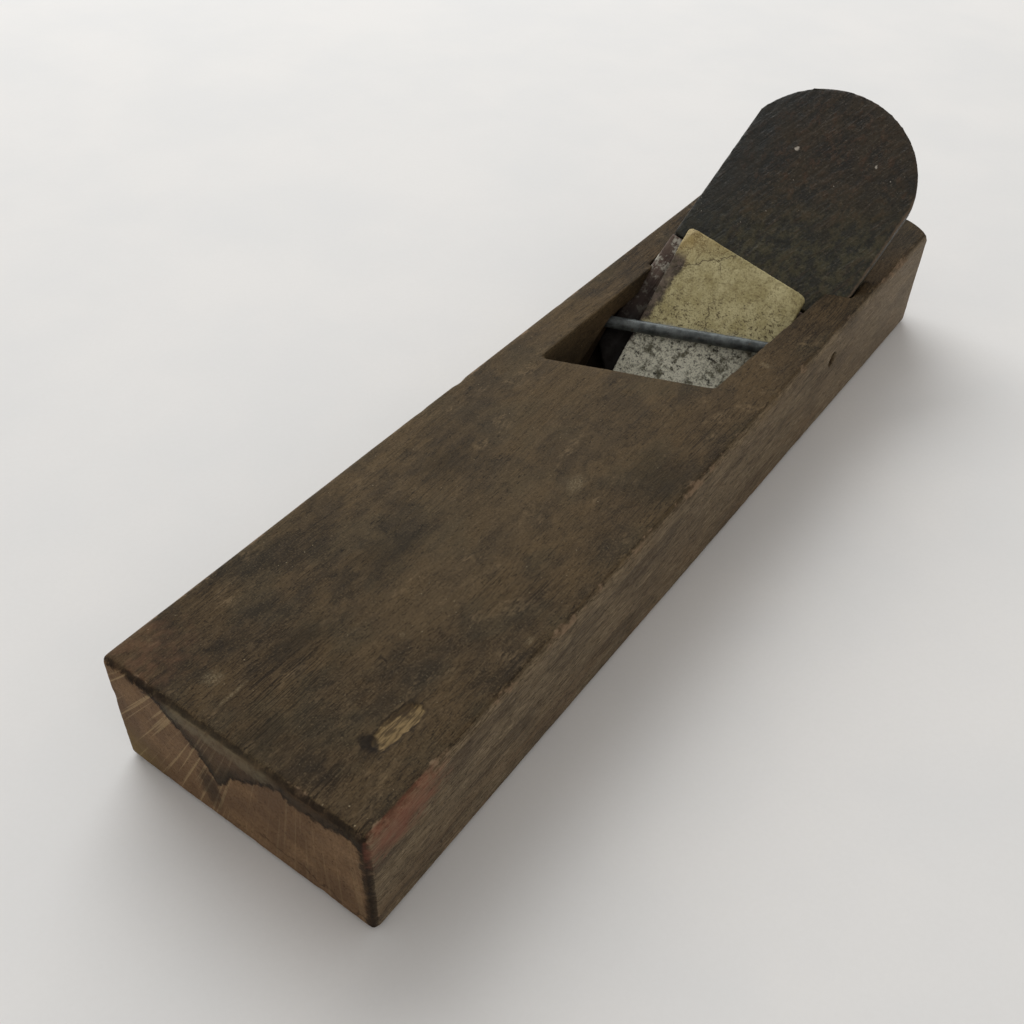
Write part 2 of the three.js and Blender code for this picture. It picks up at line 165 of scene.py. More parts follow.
def lumps(points, size, place=0.0):
    """Smooth noise from -1 to 1 with lumps of the given size, which may differ along x, y and z."""
    q = points / size + PLACE_STEP * place + LATTICE_MIDDLE
    cell = np.floor(q).astype(int)
    t = q - cell
    t = t * t * (3 - 2 * t)
    total = np.zeros(len(points))
    for corner in range(8):
        offset = np.array([corner & 1, corner >> 1 & 1, corner >> 2 & 1])
        index = (cell + offset) % LATTICE_SIZE
        weight = np.prod(np.where(offset == 1, t, 1 - t), axis=1)
        total += weight * LATTICE[index[:, 0], index[:, 1], index[:, 2]]
    return total * 2 - 1


def unevenness(points, depth, size, place):
    """Lumps that only go inward, from 0 to twice the given depth."""
    return depth * (1 + lumps(points, size, place))


def press_in(obj, depth):
    """Moves each point in, against its normal, by its own depth."""
    put_points(obj, points_of(obj) - normals_of(obj) * depth[:, None])


def wear_convex(obj, rounds, strength):
    """Rounds the outward edges, by a share of each point's step to its neighbours.

    Gives how far each point moved.
    """
    edges = edges_of(obj)
    points = points_of(obj)
    start = points.copy()
    for _ in range(rounds):
        normals = normals_of(obj)
        step = np.einsum("ij,ij->i", neighbour_average(points, edges) - points, normals)
        points = points + normals * (np.minimum(step, 0) * strength)[:, None]
        put_points(obj, points)
    return np.linalg.norm(points - start, axis=1)


def dent(points, depth_way, centre, radius, depth):
    """A shallow round dent."""
    distance = np.linalg.norm(points - centre, axis=1)
    share = np.clip(1 - (distance / radius) ** 2, 0, 1) ** 2
    return points + depth_way * (share * depth)[:, None]


# ---- The block ---------------------------------------------------------------------------------------
BLOCK_VOXEL = 0.5

# The outer edges are worn round, by a radius that changes along them and is larger at the corners.
EDGE_RADIUS = 1.0
EDGE_RADIUS_LEAST = 0.5
EDGE_RADIUS_MOST = 3
CORNER_EXTRA = 0.7
CORNER_REACH = 6

# Knocks and dents: how many, and from the least to the most of their radius and depth.
EDGE_KNOCKS = 46
KNOCK_RADIUS = (0.8, 3.2)
KNOCK_DEPTH = (0.1, 0.4)
KNOCK_WAYS = [0, 1, 1, 1, 2]  # the axis that a knocked edge runs along: mostly the block's length
FACE_DENTS = 60
DENT_RADIUS = (0.8, 2.4)
DENT_DEPTH = (0.08, 0.3)
DENT_WAYS = [0, 2, 2]  # the axis that a dented face looks along: mostly up or down
SKIN = 0.6  # points this near the block's box are on its outside, and the others in the throat

# The long gouge in the top, near the front.
GOUGE_MIDDLE = np.array([21.0, FRONT + 20.6])
GOUGE_HALF = np.array([2.3, 5.9])
GOUGE_DEPTH = 0.4
GOUGE_LEAN = 0.06

# The tail, which the hammer strikes to free the iron.
TAIL_SWELL = 5.5  # its middle stands this far behind its two corners
TAIL_CORNER = 10.0  # width of each rounded corner
TAIL_RUN = 22.0  # the swelling starts this far from the end
TAIL_LIP = 1.8  # the top face runs back over the CAD chamfer by this much
TAIL_CHAMFER = 3.2  # the CAD chamfer


def gouge_field(points):
    """Above 0 inside the long gouge in the block's top, near the front."""
    across = points[:, 0] - GOUGE_MIDDLE[0] - GOUGE_LEAN * (points[:, 1] - GOUGE_MIDDLE[1])
    along = points[:, 1] - GOUGE_MIDDLE[1]
    ragged = 0.34 * lumps(points, 1.7, 3) + 0.24 * lumps(points, 0.9, 4)
    squarish = (np.abs(across) / GOUGE_HALF[0]) ** 3 + (np.abs(along) / GOUGE_HALF[1]) ** 4
    return np.where(points[:, 2] > TOP - 2, np.clip(1 - squarish, -3, 1) + ragged, -3)


def worn_outline(points):
    """Rounds the block's outer edges by an amount that changes along them."""
    local = points - BLOCK_MIDDLE
    to_faces = BLOCK_HALF - np.abs(local)
    to_corner = np.linalg.norm(np.maximum(to_faces, 0), axis=1)
    radius = EDGE_RADIUS + 0.35 * lumps(points, 14, 1) + 0.2 * lumps(points, 6, 2)
    radius += CORNER_EXTRA * (1 - smooth_step(to_corner, 1, CORNER_REACH))
    radius = np.clip(radius, EDGE_RADIUS_LEAST, EDGE_RADIUS_MOST)[:, None]
    past = np.maximum(np.abs(local) - (BLOCK_HALF - radius), 0)
    length = np.linalg.norm(past, axis=1)[:, None]
    shrink = np.where(length > radius, radius / np.maximum(length, 1e-6), 1)
    kept = np.minimum(np.abs(local), BLOCK_HALF - radius) + past * shrink
    near_edge = np.sort(to_faces, axis=1)[:, 1]
    return np.sign(local) * kept + BLOCK_MIDDLE, near_edge


def swollen_tail(points):
    """The end that the hammer strikes, rounded in plan and spread a little at the top."""
    inboard = np.clip((BLOCK_HALF[0] - np.abs(points[:, 0])) / TAIL_CORNER, 0, 1)
    back = TAIL_SWELL * np.sin(inboard * math.pi / 2)
    back += TAIL_LIP * np.clip((points[:, 2] - TOP + TAIL_CHAMFER) / TAIL_CHAMFER, 0, 1)
    points[:, 1] += back * smooth_step(points[:, 1], TAIL - TAIL_RUN, TAIL - TAIL_CHAMFER)
    return points


def knocked(points, outside):
    """Small knocks along the block's edges and dents in its faces, all at seeded places."""
    local = points - BLOCK_MIDDLE
    way = np.where(outside[:, None], -local / np.linalg.norm(local, axis=1)[:, None], 0)
    rng = np.random.default_rng(5)
    for _ in range(EDGE_KNOCKS):
        corner = rng.choice([-1, 1], 3) * BLOCK_HALF
        corner[rng.choice(KNOCK_WAYS)] *= rng.uniform(-1, 1)
        radius = rng.uniform(*KNOCK_RADIUS)
        points = dent(points, way, BLOCK_MIDDLE + corner, radius, rng.uniform(*KNOCK_DEPTH))
    for _ in range(FACE_DENTS):
        side = rng.choice(DENT_WAYS)
        spot = rng.uniform(-1, 1, 3) * BLOCK_HALF
        spot[side] = rng.choice([-1, 1]) * BLOCK_HALF[side]
        radius = rng.uniform(*DENT_RADIUS)
        points = dent(points, way, BLOCK_MIDDLE + spot, radius, rng.uniform(*DENT_DEPTH))
    return points


def make_block():
    piece = remeshed("plane_body", "block_wood", BLOCK_VOXEL)
    rounded = wear_convex(piece, 3, 0.5)
    points, near_edge = worn_outline(points_of(piece))
    outside = np.max(np.abs(points - BLOCK_MIDDLE) - BLOCK_HALF, axis=1) > -SKIN
    points = knocked(points, outside)
    put_points(piece, points)

    inward = unevenness(points, 0.06, (9, 34, 9), 5) + unevenness(points, 0.035, (1.3, 7, 1.3), 6)
    normals = normals_of(piece)
    points = points - normals * np.where(outside, inward, 0)[:, None]
    field = gouge_field(points)
    depth = GOUGE_DEPTH * smooth_step(field, 0, 0.5) * (0.8 + 0.35 * lumps(points, (0.7, 3, 2), 7))
    points[:, 2] -= np.where(normals[:, 2] > 0.7, depth, 0)
    points[:, 2] = np.maximum(points[:, 2], block_low[2])
    put_points(piece, swollen_tail(points))

    outer = 1 - smooth_step(near_edge, 0.3, 3.2)
    put_attribute(piece, "gouge", field)
    put_attribute(piece, "edge", np.clip(outer + rounded * 3, 0, 1))
    return piece


# ---- The iron, the chip breaker and the pin ----------------------------------------------------------
IRON_VOXEL = 0.5
FACING_VOXEL = 0.4
PLATE_VOXEL = 0.3
PIN_VOXEL = 0.3


def make_iron_back():
    """The forged back: flaked on its two broad faces, and smooth on its narrow sides."""
    piece = remeshed("iron_body", "iron_forged", IRON_VOXEL)
    moved = wear_convex(piece, 6, 0.6)
    points = points_of(piece)
    flakes = smooth_step(lumps(points, (2.2, 3.4, 2.2), 18) + 0.5 * lumps(points, 1.1, 19), 0.1, 0.7)
    faces = smooth_step(np.abs(normals_of(piece) @ OUT_OF_IRON), 0.8, 0.95)
    hollow = unevenness(points, 0.04, 5, 8) + unevenness(points, 0.06, 13, 9) + 0.1 * flakes
    press_in(piece, 0.02 + hollow * faces)
    put_attribute(piece, "edge", np.clip(moved * 4, 0, 1))
    return piece


def make_iron_facing():
    piece = remeshed("iron_steel_facing", "iron_facing", FACING_VOXEL)
    wear_convex(piece, 3, 0.5)
    press_in(piece, unevenness(points_of(piece), 0.03, 3, 10))
    return piece


def make_chip_breaker():
    """The plate, with small rust pits."""
    piece = remeshed("chip_breaker", "chip_breaker_plate", PLATE_VOXEL)
    moved = wear_convex(piece, 3, 0.5)
    points = points_of(piece)
    pits = smooth_step(lumps(points, 0.9, 12) + 0.4 * lumps(points, 2.6, 13), 0.55, 0.95)
    press_in(piece, unevenness(points, 0.03, 4, 11) + 0.12 * pits)
    put_attribute(piece, "edge", np.clip(moved * 6, 0, 1))
    return piece


def make_pin():
    piece = remeshed("cross_pin", "pin_rod", PIN_VOXEL)
    points = points_of(piece)
    nicks = smooth_step(lumps(points, 0.8, 15), 0.3, 0.9)
    press_in(piece, unevenness(points, 0.04, 2.2, 14) + 0.05 * nicks)
    return piece


# ---- Materials ---------------------------------------------------------------------------------------
def colour(code):
    """Linear colour from an sRGB hex code."""
    values = [int(code[k : k + 2], 16) / 255 for k in (0, 2, 4)]
    return tuple(v / 12.92 if v <= 0.04045 else ((v + 0.055) / 1.055) ** 2.4 for v in values) + (1.0,)


class Look:
    """A material under construction: each call adds a node and gives its output."""

    def __init__(self, name):
        self.material = bpy.data.materials.new(name)
        self.material.use_nodes = True
        self.tree = self.material.node_tree
        self.tree.nodes.clear()
        self.shader = self.tree.nodes.new("ShaderNodeBsdfPrincipled")
        output = self.tree.nodes.new("ShaderNodeOutputMaterial")
        self.tree.links.new(self.shader.outputs[0], output.inputs[0])
        place = self.tree.nodes.new("ShaderNodeTexCoord")
        self.place = self.vector("SCALE", place.outputs["Object"], scale=1 / MM)
        self.normal = place.outputs["Normal"]

    def set(self, socket, value):
        if isinstance(value, bpy.types.NodeSocket):
            self.tree.links.new(value, socket)
        elif value is not None:
            socket.default_value = value

    def math(self, operation, a, b=None, c=None):
        node = self.tree.nodes.new("ShaderNodeMath")
        node.operation = operation
        for socket, value in zip(node.inputs, (a, b, c)):
            self.set(socket, value)
        return node.outputs[0]

    def add(self, a, b):
        return self.math("ADD", a, b)

    def times(self, a, b):
        return self.math("MULTIPLY", a, b)

    def highest(self, a, b):
        return self.math("MAXIMUM", a, b)

    def less(self, a, b):
        return self.math("SUBTRACT", a, b)

    def inverse(self, a):
        return self.less(1.0, a)

    def size_of(self, a):
        return self.math("ABSOLUTE", a)

    def swing(self, noise, width):
        """A noise about 0.5 as a swing about 0, of the given width."""
        return self.times(self.add(noise, -0.5), width)

    def vector(self, operation, a, b=None, scale=None):
        node = self.tree.nodes.new("ShaderNodeVectorMath")
        node.operation = operation
        self.set(node.inputs[0], a)
        self.set(node.inputs[1], b)
        if scale is not None:
            self.set(node.inputs["Scale"], scale)
        return node.outputs["Value" if operation in ("DOT_PRODUCT", "LENGTH") else "Vector"]

    def along(self, axis):
        """How far a point lies along a direction, in millimetres."""
        return self.vector("DOT_PRODUCT", self.place, tuple(axis))

    def joined(self, x, y, z):
        node = self.tree.nodes.new("ShaderNodeCombineXYZ")
        for socket, value in zip(node.inputs, (x, y, z)):
            self.set(socket, value)
        return node.outputs[0]

    def scaled(self, size, place, shift):
        """Places divided by a size in millimetres, which may differ along x, y and z, and shifted."""
        sizes = size if isinstance(size, tuple) else (size,) * 3
        stretched = self.vector("MULTIPLY", place or self.place, tuple(1 / s for s in sizes))
        return self.vector("ADD", stretched, (shift, 1.7 * shift, 0.6 * shift))

    def noise(self, size, place=None, detail=3.0, rough=0.55, shift=0.0):
        """Noise about 0.5, with features of the given size."""
        moved = self.scaled(size, place, shift)
        node = self.tree.nodes.new("ShaderNodeTexNoise")
        node.inputs["Scale"].default_value = 1
        node.inputs["Detail"].default_value = detail
        node.inputs["Roughness"].default_value = rough
        self.set(node.inputs["Vector"], moved)
        return node.outputs["Fac"]

    def cell_edges(self, size, place, shift):
        """The distance to the nearest border between cells of the given size."""
        moved = self.scaled(size, place, shift)
        node = self.tree.nodes.new("ShaderNodeTexVoronoi")
        node.feature = "DISTANCE_TO_EDGE"
        node.inputs["Scale"].default_value = 1
        self.set(node.inputs["Vector"], moved)
        return node.outputs["Distance"]

    def between(self, value, low, high, start=0.0, end=1.0):
        """A smooth step from start to end as value goes from low to high."""
        node = self.tree.nodes.new("ShaderNodeMapRange")
        node.interpolation_type = "SMOOTHSTEP"
        self.set(node.inputs["Value"], value)
        if low > high:
            low, high, start, end = high, low, end, start
        node.inputs["From Min"].default_value = low
        node.inputs["From Max"].default_value = high
        node.inputs["To Min"].default_value = start
        node.inputs["To Max"].default_value = end
        return node.outputs["Result"]

    def mix(self, share, a, b):
        node = self.tree.nodes.new("ShaderNodeMix")
        node.data_type = "RGBA"
        self.set(node.inputs["Factor"], share)
        self.set(node.inputs[6], a)
        self.set(node.inputs[7], b)
        return node.outputs[2]

    def over(self, base, share, most, code):
        """Lays a colour over the base where share is 1, and hides at most the given part of it."""
        return self.mix(self.times(share, most), base, colour(code))

    def shades(self, value, low, high, dark, light):
        """Runs from one colour to another as value goes from low to high."""
        return self.mix(self.between(value, low, high), colour(dark), colour(light))

    def steps(self, value, stops):
        """A curve through (position, level) stops, both from 0 to 1."""
        node = self.tree.nodes.new("ShaderNodeValToRGB")
        ramp = node.color_ramp
        while len(ramp.elements) < len(stops):
            ramp.elements.new(0.5)
        for element, (position, level) in zip(ramp.elements, stops):
            element.position = position
            element.color = (level, level, level, 1)
        self.set(node.inputs[0], value)
        return node.outputs["Color"]

    def attribute(self, name):
        node = self.tree.nodes.new("ShaderNodeAttribute")
        node.attribute_name = name
        return node.outputs["Fac"]

    def parts(self, value):
        node = self.tree.nodes.new("ShaderNodeSeparateXYZ")
        self.set(node.inputs[0], value)
        return node.outputs

    def spot(self, centre, reach, rough_size, rough_amount, soft=0.3):
        """1 inside a ragged spot round a point, with a radius for each axis, and 0 outside."""
        away = self.vector("SUBTRACT", self.place, tuple(centre))
        scaled = self.vector("MULTIPLY", away, tuple(1 / r for r in reach))
        ragged = self.swing(self.noise(rough_size, detail=4), rough_amount)
        return self.between(self.add(self.vector("LENGTH", scaled), ragged), 1 + soft, 1 - soft)

    def finish(self, base, rough, height, bump, distance=0.1, metallic=None, specular=0.5):
        """Joins colour, roughness and relief to the shader; relief heights are in millimetres."""
        self.set(self.shader.inputs["Base Color"], base)
        self.set(self.shader.inputs["Roughness"], rough)
        self.set(self.shader.inputs["Metallic"], metallic)
        self.shader.inputs["Specular IOR Level"].default_value = specular
        node = self.tree.nodes.new("ShaderNodeBump")
        node.inputs["Strength"].default_value = bump
        node.inputs["Distance"].default_value = distance * MM
        self.set(node.inputs["Height"], height)
        self.tree.links.new(node.outputs[0], self.shader.inputs["Normal"])
        return self.material


# ---- The block's wood ----------------------------------------------------------------------------------
PITH_X, PITH_Z = 23.0, 78.0  # the tree's middle, above the block: rings curve round it
RING_WIDTH = 2.7
RAY_FAN = 112.0  # how close the rays stand on the end grain, per radian round the pith

# Marks on the top that stand out one by one: the middle's x and y, then how far they reach along x and y.
DARK_MARKS = (
    (-15.2, -41.1, 4.5, 7),
    (-7.4, -70.9, 4, 9),
    (4.0, -116.5, 4, 4),
    (25.5, -17.2, 6, 9),
    (-5.5, -97.1, 3, 6),
)
PALE_MARKS = (
    (10.9, -30.1, 1.5, 2.6),
    (-11.8, -113.0, 1.6, 1.6),
    (-6.4, -113.4, 0.35, 3.2),
    (28.2, -71.5, 0.6, 0.9),
    (8.5, -84.7, 0.5, 0.5),
    (23.5, 34.4, 1.4, 0.9),
)
MARK_DEPTH = 4

# The lower rim of the front end's water stain: how far across it, and how high, as shares of its size.
STAIN_RIM = (
    (0.0, 1.0),
    (0.22, 0.95),
    (0.33, 0.76),
    (0.40, 0.60),
    (0.43, 0.46),
    (0.50, 0.64),
    (0.62, 0.83),
    (0.70, 0.91),
    (0.73, 0.85),
    (0.86, 0.88),
    (0.94, 0.93),
    (1.0, 0.8),
)


class Oak(Look):
    """The block's wood. It holds which face a point is on, and the noises that several marks share."""

    def __init__(self):
        super().__init__("oak_worn")
        self.find_faces()
        self.grow_grain()
        self.edge = self.attribute("edge")
        self.tone = self.noise((10, 26, 10), detail=4, shift=2)
        self.blotch = self.noise((8, 13, 8), detail=6, rough=0.62, shift=13)
        self.patch = self.noise((2.4, 3.6, 2.4), detail=7, rough=0.7, shift=17)
        self.grit = self.noise(0.45, detail=3, rough=0.7, shift=19)

    def find_faces(self):
        """Each face is 1 on itself and 0 elsewhere; inner is the throat, and deep its lower part."""
        self.x, self.y, self.z = self.parts(self.place)
        self.nx, self.ny, self.nz = self.parts(self.normal)
        beside = self.between(self.size_of(self.x), RIGHT - 4, RIGHT - 2)
        self.ahead = self.between(self.y, FRONT + 4, FRONT + 2)
        behind = self.between(self.y, TAIL - 4, TAIL - 2)
        self.front = self.times(self.between(self.ny, -0.5, -0.85), self.ahead)
        self.tail = self.times(self.between(self.ny, 0.5, 0.85), behind)
        self.side = self.times(self.between(self.size_of(self.nx), 0.5, 0.85), beside)
        inner = self.inverse(self.highest(beside, self.highest(self.ahead, behind)))
        self.inner = self.times(inner, self.between(self.z, TOP - 0.8, TOP - 3.5))
        self.deep = self.times(self.inner, self.between(self.z, TOP - 2, TOP - 16))

    def grow_grain(self):
        """Rings round the pith, long fibres, and the short dark slits of open pores."""
        drift = self.swing(self.noise((30, 90, 30), detail=1), 7.0)
        place = self.joined(self.add(self.x, drift), self.y, self.add(self.z, self.times(drift, 0.6)))
        x, _, z = self.parts(place)
        from_pith = self.vector("SUBTRACT", self.joined(x, 0.0, z), (PITH_X, 0.0, PITH_Z))
        self.from_pith = self.vector("LENGTH", from_pith)
        self.ring = self.math("SINE", self.times(self.from_pith, 2 * math.pi / RING_WIDTH))
        self.fibres = self.noise((0.6, 5, 0.6), place, detail=7, rough=0.8)
        self.threads = self.noise((0.2, 2.4, 0.2), place, detail=3, rough=0.7, shift=4)
        self.streaks = self.noise((1.6, 26, 1.6), place, detail=3, rough=0.6, shift=6)
        self.long_stains = self.noise((5, 24, 5), place, detail=6, rough=0.65, shift=47)
        self.lines = self.between(self.noise((0.3, 15, 0.3), place, detail=2, shift=27), 0.53, 0.6)
        slits = self.noise((0.22, 1.5, 0.22), place, detail=1, shift=9)
        self.pores = self.between(self.add(slits, self.times(self.ring, 0.03)), 0.66, 0.695)

    def handled_top(self):
        brown = self.shades(self.tone, 0.36, 0.64, "362c20", "54442e")
        brown = self.over(brown, self.between(self.streaks, 0.35, 0.65), 0.6, "4a3b27")
        brown = self.over(brown, self.between(self.fibres, 0.36, 0.66), 0.65, "5d4d37")
        brown = self.over(brown, self.between(self.threads, 0.5, 0.64), 0.75, "211910")
        brown = self.over(brown, self.between(self.ring, -0.2, 1.0), 0.1, "261c11")
        grain_seen = self.between(self.noise((16, 34, 16), detail=3, shift=25), 0.46, 0.60)
        brown = self.over(brown, self.times(self.lines, grain_seen), 0.85, "221a11")
        cool = self.between(self.noise((14, 22, 14), detail=4, shift=45), 0.48, 0.62)
        brown = self.over(brown, cool, 0.35, "37352a")
        rubbed = self.times(self.between(self.y, FRONT + 12, FRONT + 60), self.between(self.y, 60.0, 20.0))
        rubbed = self.times(rubbed, self.between(self.x, 24.0, 6.0, 0.3, 1.0))
        return self.over(brown, rubbed, 0.3, "6a5a42")

    def grey_sides(self):
        """The sides are less handled than the top: lighter and greyer, and reddish low down."""
        pale = self.shades(self.fibres, 0.34, 0.66, "6c5f4b", "9c8a70")
        pale = self.over(pale, self.between(self.threads, 0.47, 0.60), 0.7, "4a3d2e")
        pale = self.over(pale, self.between(self.tone, 0.48, 0.66), 0.4, "594c3f")
        pale = self.over(pale, self.between(self.long_stains, 0.46, 0.66), 0.6, "4a4035")
        pale = self.over(pale, self.lines, 0.45, "42352a")
        pale = self.over(pale, self.between(self.streaks, 0.56, 0.66), 0.5, "87775f")
        reddish = self.times(self.between(self.streaks, 0.48, 0.64), self.between(self.z, TOP * 0.55, 0.0))
        pale = self.over(pale, reddish, 0.35, "6a4a35")
        return self.mix(self.between(self.y, 20.0, TAIL, 0.0, 0.35), pale, colour("9a8c79"))

    def dirtied(self, wood):
        """Dirt from hands: darker blotches, mostly at the front of the top."""
        toward_front = self.between(self.y, FRONT + 95, FRONT + 12)
        dirtier = self.add(self.times(toward_front, 0.3), 0.55)
        dirt = self.times(self.between(self.blotch, 0.45, 0.62), dirtier)
        dirt = self.times(dirt, self.between(self.side, 0.0, 1.0, 1.0, 0.35))
        wood = self.over(wood, dirt, 0.7, "1f1911")
        smudge = self.times(self.between(self.patch, 0.56, 0.68), self.between(self.blotch, 0.40, 0.56))
        smudge = self.times(smudge, self.between(self.side, 0.0, 1.0, 1.0, 0.5))
        wood = self.over(wood, smudge, 0.5, "17120c")
        wood = self.over(wood, self.between(self.grit, 0.54, 0.66), 0.45, "1a140e")
        wood = self.over(wood, self.between(self.grit, 0.44, 0.34), 0.3, "7a6a50")
        specks = self.between(self.noise(1.3, detail=2, shift=21), 0.68, 0.74)
        wood = self.over(wood, specks, self.add(self.times(toward_front, 0.4), 0.15), "120e0a")
        return self.over(wood, self.pores, 0.6, "140f0a")

    def scuffed(self, wood):
        """Rubbed patches, paler flecks, crumbs of old glue, and one bare corner."""
        rubbed = self.between(self.noise((5, 11, 5), detail=6, rough=0.6, shift=31), 0.55, 0.70, 0.0, 0.6)
        broken = self.between(self.noise((0.6, 1.7, 0.6), detail=4, shift=33), 0.42, 0.6)
        wood = self.over(wood, rubbed, broken, "75634a")
        mottled = self.times(self.between(self.patch, 0.44, 0.34), self.between(self.grit, 0.45, 0.6))
        wood = self.over(wood, mottled, 0.35, "6b5a42")
        crumbs = self.between(self.noise(0.75, detail=2, shift=41), 0.735, 0.77)
        wood = self.over(wood, crumbs, 0.7, "a39478")
        bare_corner = self.spot((-RIGHT + 4, FRONT + 5, TOP), (9, 7, 4), 2.5, 2.6, 0.7)
        return self.over(wood, bare_corner, self.between(self.patch, 0.4, 0.6, 0.1, 0.4), "70523d")

    def marked(self, wood):
        """The dark stains, then the pale scuffs and chips."""
        for x, y, half_x, half_y in DARK_MARKS:
            mark = self.spot((x, y, TOP), (half_x, half_y, MARK_DEPTH), (1.8, 3.4, 1.8), 2.2, 0.75)
            wood = self.over(wood, mark, 0.45, "1c1811")
        for x, y, half_x, half_y in PALE_MARKS:
            mark = self.spot((x, y, TOP), (half_x, half_y, MARK_DEPTH), (0.6, 0.9, 0.6), 2.4, 0.6)
            wood = self.over(wood, mark, self.between(self.grit, 0.42, 0.58, 0.05, 0.55), "81735a")
        return wood

    def worn_edges(self, wood):
        """The long edges show clean wood in broken patches; elsewhere they are as dark as the top."""
        run = self.noise((9, 11, 9), detail=5, rough=0.65, shift=51)
        fine = self.noise((1.2, 2.4, 1.2), detail=4, rough=0.65, shift=53)
        worn = self.add(self.times(self.edge, 0.30), self.add(self.times(run, 0.9), self.times(fine, 0.55)))
        worn = self.times(self.between(worn, 1.03, 1.16), self.between(self.edge, 0.08, 0.6))
        shade = self.add(fine, self.add(self.fibres, -0.5))
        return self.mix(self.times(worn, 0.75), wood, self.shades(shade, 0.4, 0.62, "5f4d3b", "88725b"))

    def end_grain(self):
        """Sawn end grain, paler, with rays that fan out from the pith."""
        angle = self.math("ARCTAN2", self.add(self.x, -PITH_X), self.times(self.add(self.z, -PITH_Z), -1.0))
        fan = self.joined(self.times(angle, RAY_FAN), self.times(self.from_pith, 0.022), 0.0)
        rays = self.between(self.noise(1, fan, detail=1.5, rough=0.5), 0.57, 0.66)
        fine = self.noise((0.5, 30, 0.5), detail=3, shift=63)
        self.end_tone = self.noise((7, 40, 7), detail=5, shift=61)
        wood = self.shades(self.end_tone, 0.34, 0.68, "6c543e", "866a4d")
        wood = self.over(wood, self.between(fine, 0.42, 0.62), 0.45, "503b28")
        wood = self.over(wood, self.between(self.ring, 0.1, 1.0), 0.16, "5c4329")
        wood = self.over(wood, rays, self.between(self.x, 6.0, -12.0, 0.14, 0.46), "b39b74")
        pores = self.between(self.noise((0.5, 30, 0.5), detail=1, shift=65), 0.65, 0.71)
        wood = self.over(wood, pores, 0.55, "38281a")
        spots = self.between(self.noise((1.5, 30, 1.5), detail=2, shift=67), 0.69, 0.74)
        wood = self.over(wood, spots, 0.6, "3f2c1b")
        low_corner = self.times(self.between(self.x, -16.0, -RIGHT), self.between(self.z, 15.0, 2.0))
        return self.over(wood, low_corner, 0.6, "6f5f2e")

    def water_stained(self, wood):
        """A stain hangs from the end's top edge, with a dark tide line along its lower rim."""
        rim = self.steps(self.math("MULTIPLY_ADD", self.x, 0.5 / RIGHT, 0.5), STAIN_RIM)
        ripple = self.swing(self.noise((1.7, 60, 1.7), detail=5, rough=0.6, shift=71), 5.5)
        above = self.less(self.add(self.z, ripple), self.times(rim, TOP))
        wet = self.times(self.between(self.end_tone, 0.3, 0.62), 0.3)
        wet = self.add(self.add(wet, self.times(self.between(above, 6.0, 0.6), 0.35)), 0.3)
        wood = self.over(wood, self.between(above, -0.6, 0.9), wet, "29241c")

        bleached = self.times(self.between(self.x, -17.0, -12.0), self.between(self.x, 13.0, 8.0))
        upper = self.between(self.add(self.z, self.times(ripple, 0.6)), TOP - 5.0, TOP - 3.4)
        bleached = self.times(bleached, upper)
        wood = self.over(wood, bleached, self.between(self.patch, 0.36, 0.6, 0.15, 0.6), "7b7059")

        tide = self.between(self.size_of(self.add(above, self.swing(self.grit, 1.6))), 1.1, 0.3)
        broken = self.between(self.noise((2.4, 60, 2.4), detail=3, shift=73), 0.36, 0.52, 0.35, 1.0)
        wood = self.over(wood, self.times(tide, broken), 0.85, "1a130c")
        tongue = self.spot((-7.0, FRONT, 10.0), (2.6, 6.0, 5.5), (1.6, 40, 1.6), 1.3, 0.45)
        wood = self.over(wood, tongue, 0.7, "30261c")
        right_rim = self.between(self.add(self.x, self.times(ripple, 0.55)), RIGHT - 2.6, RIGHT - 1.4)
        wood = self.over(wood, right_rim, 0.8, "1f1710")

        low_line = self.less(self.z, self.math("MULTIPLY_ADD", self.x, -0.12, 6.0))
        low_line = self.add(low_line, self.swing(self.noise((5, 60, 5), detail=4, shift=75), 14.0))
        low_tide = self.between(self.size_of(low_line), 0.45, 0.1)
        return self.over(wood, self.times(low_tide, self.between(self.x, 2.0, 7.0)), 0.65, "33241a")

    def dirty_front_edges(self, wood):
        facing_front = self.highest(self.times(self.ny, -1.0), 0.0)
        across_edge = self.times(facing_front, self.highest(self.highest(self.nz, self.nx), 0.0))
        dirty = self.between(self.add(across_edge, self.times(self.patch, 0.6)), 0.66, 0.86)
        return self.over(wood, self.times(dirty, self.ahead), 0.75, "1d1610")

    def throat_painted_shade(self, wood):
        """Inside the throat the wood is painted darker as shade, and darker still the deeper it lies."""
        wood = self.over(wood, self.inner, 0.2, "2c1e13")
        return self.over(wood, self.deep, 0.6, "150e09")

    def red_smear(self, wood):
        """A smear of red lead on the right side, near the front."""
        red = self.spot((RIGHT, FRONT + 8.5, TOP - 3.5), (4.0, 9.5, 4.5), (1.2, 3, 1.2), 1.8, 0.5)
        red = self.times(red, self.between(self.add(self.fibres, self.patch), 0.8, 1.15, 0.35, 0.62))
        return self.over(wood, red, self.between(self.nx, 0.15, 0.6), "84503f")

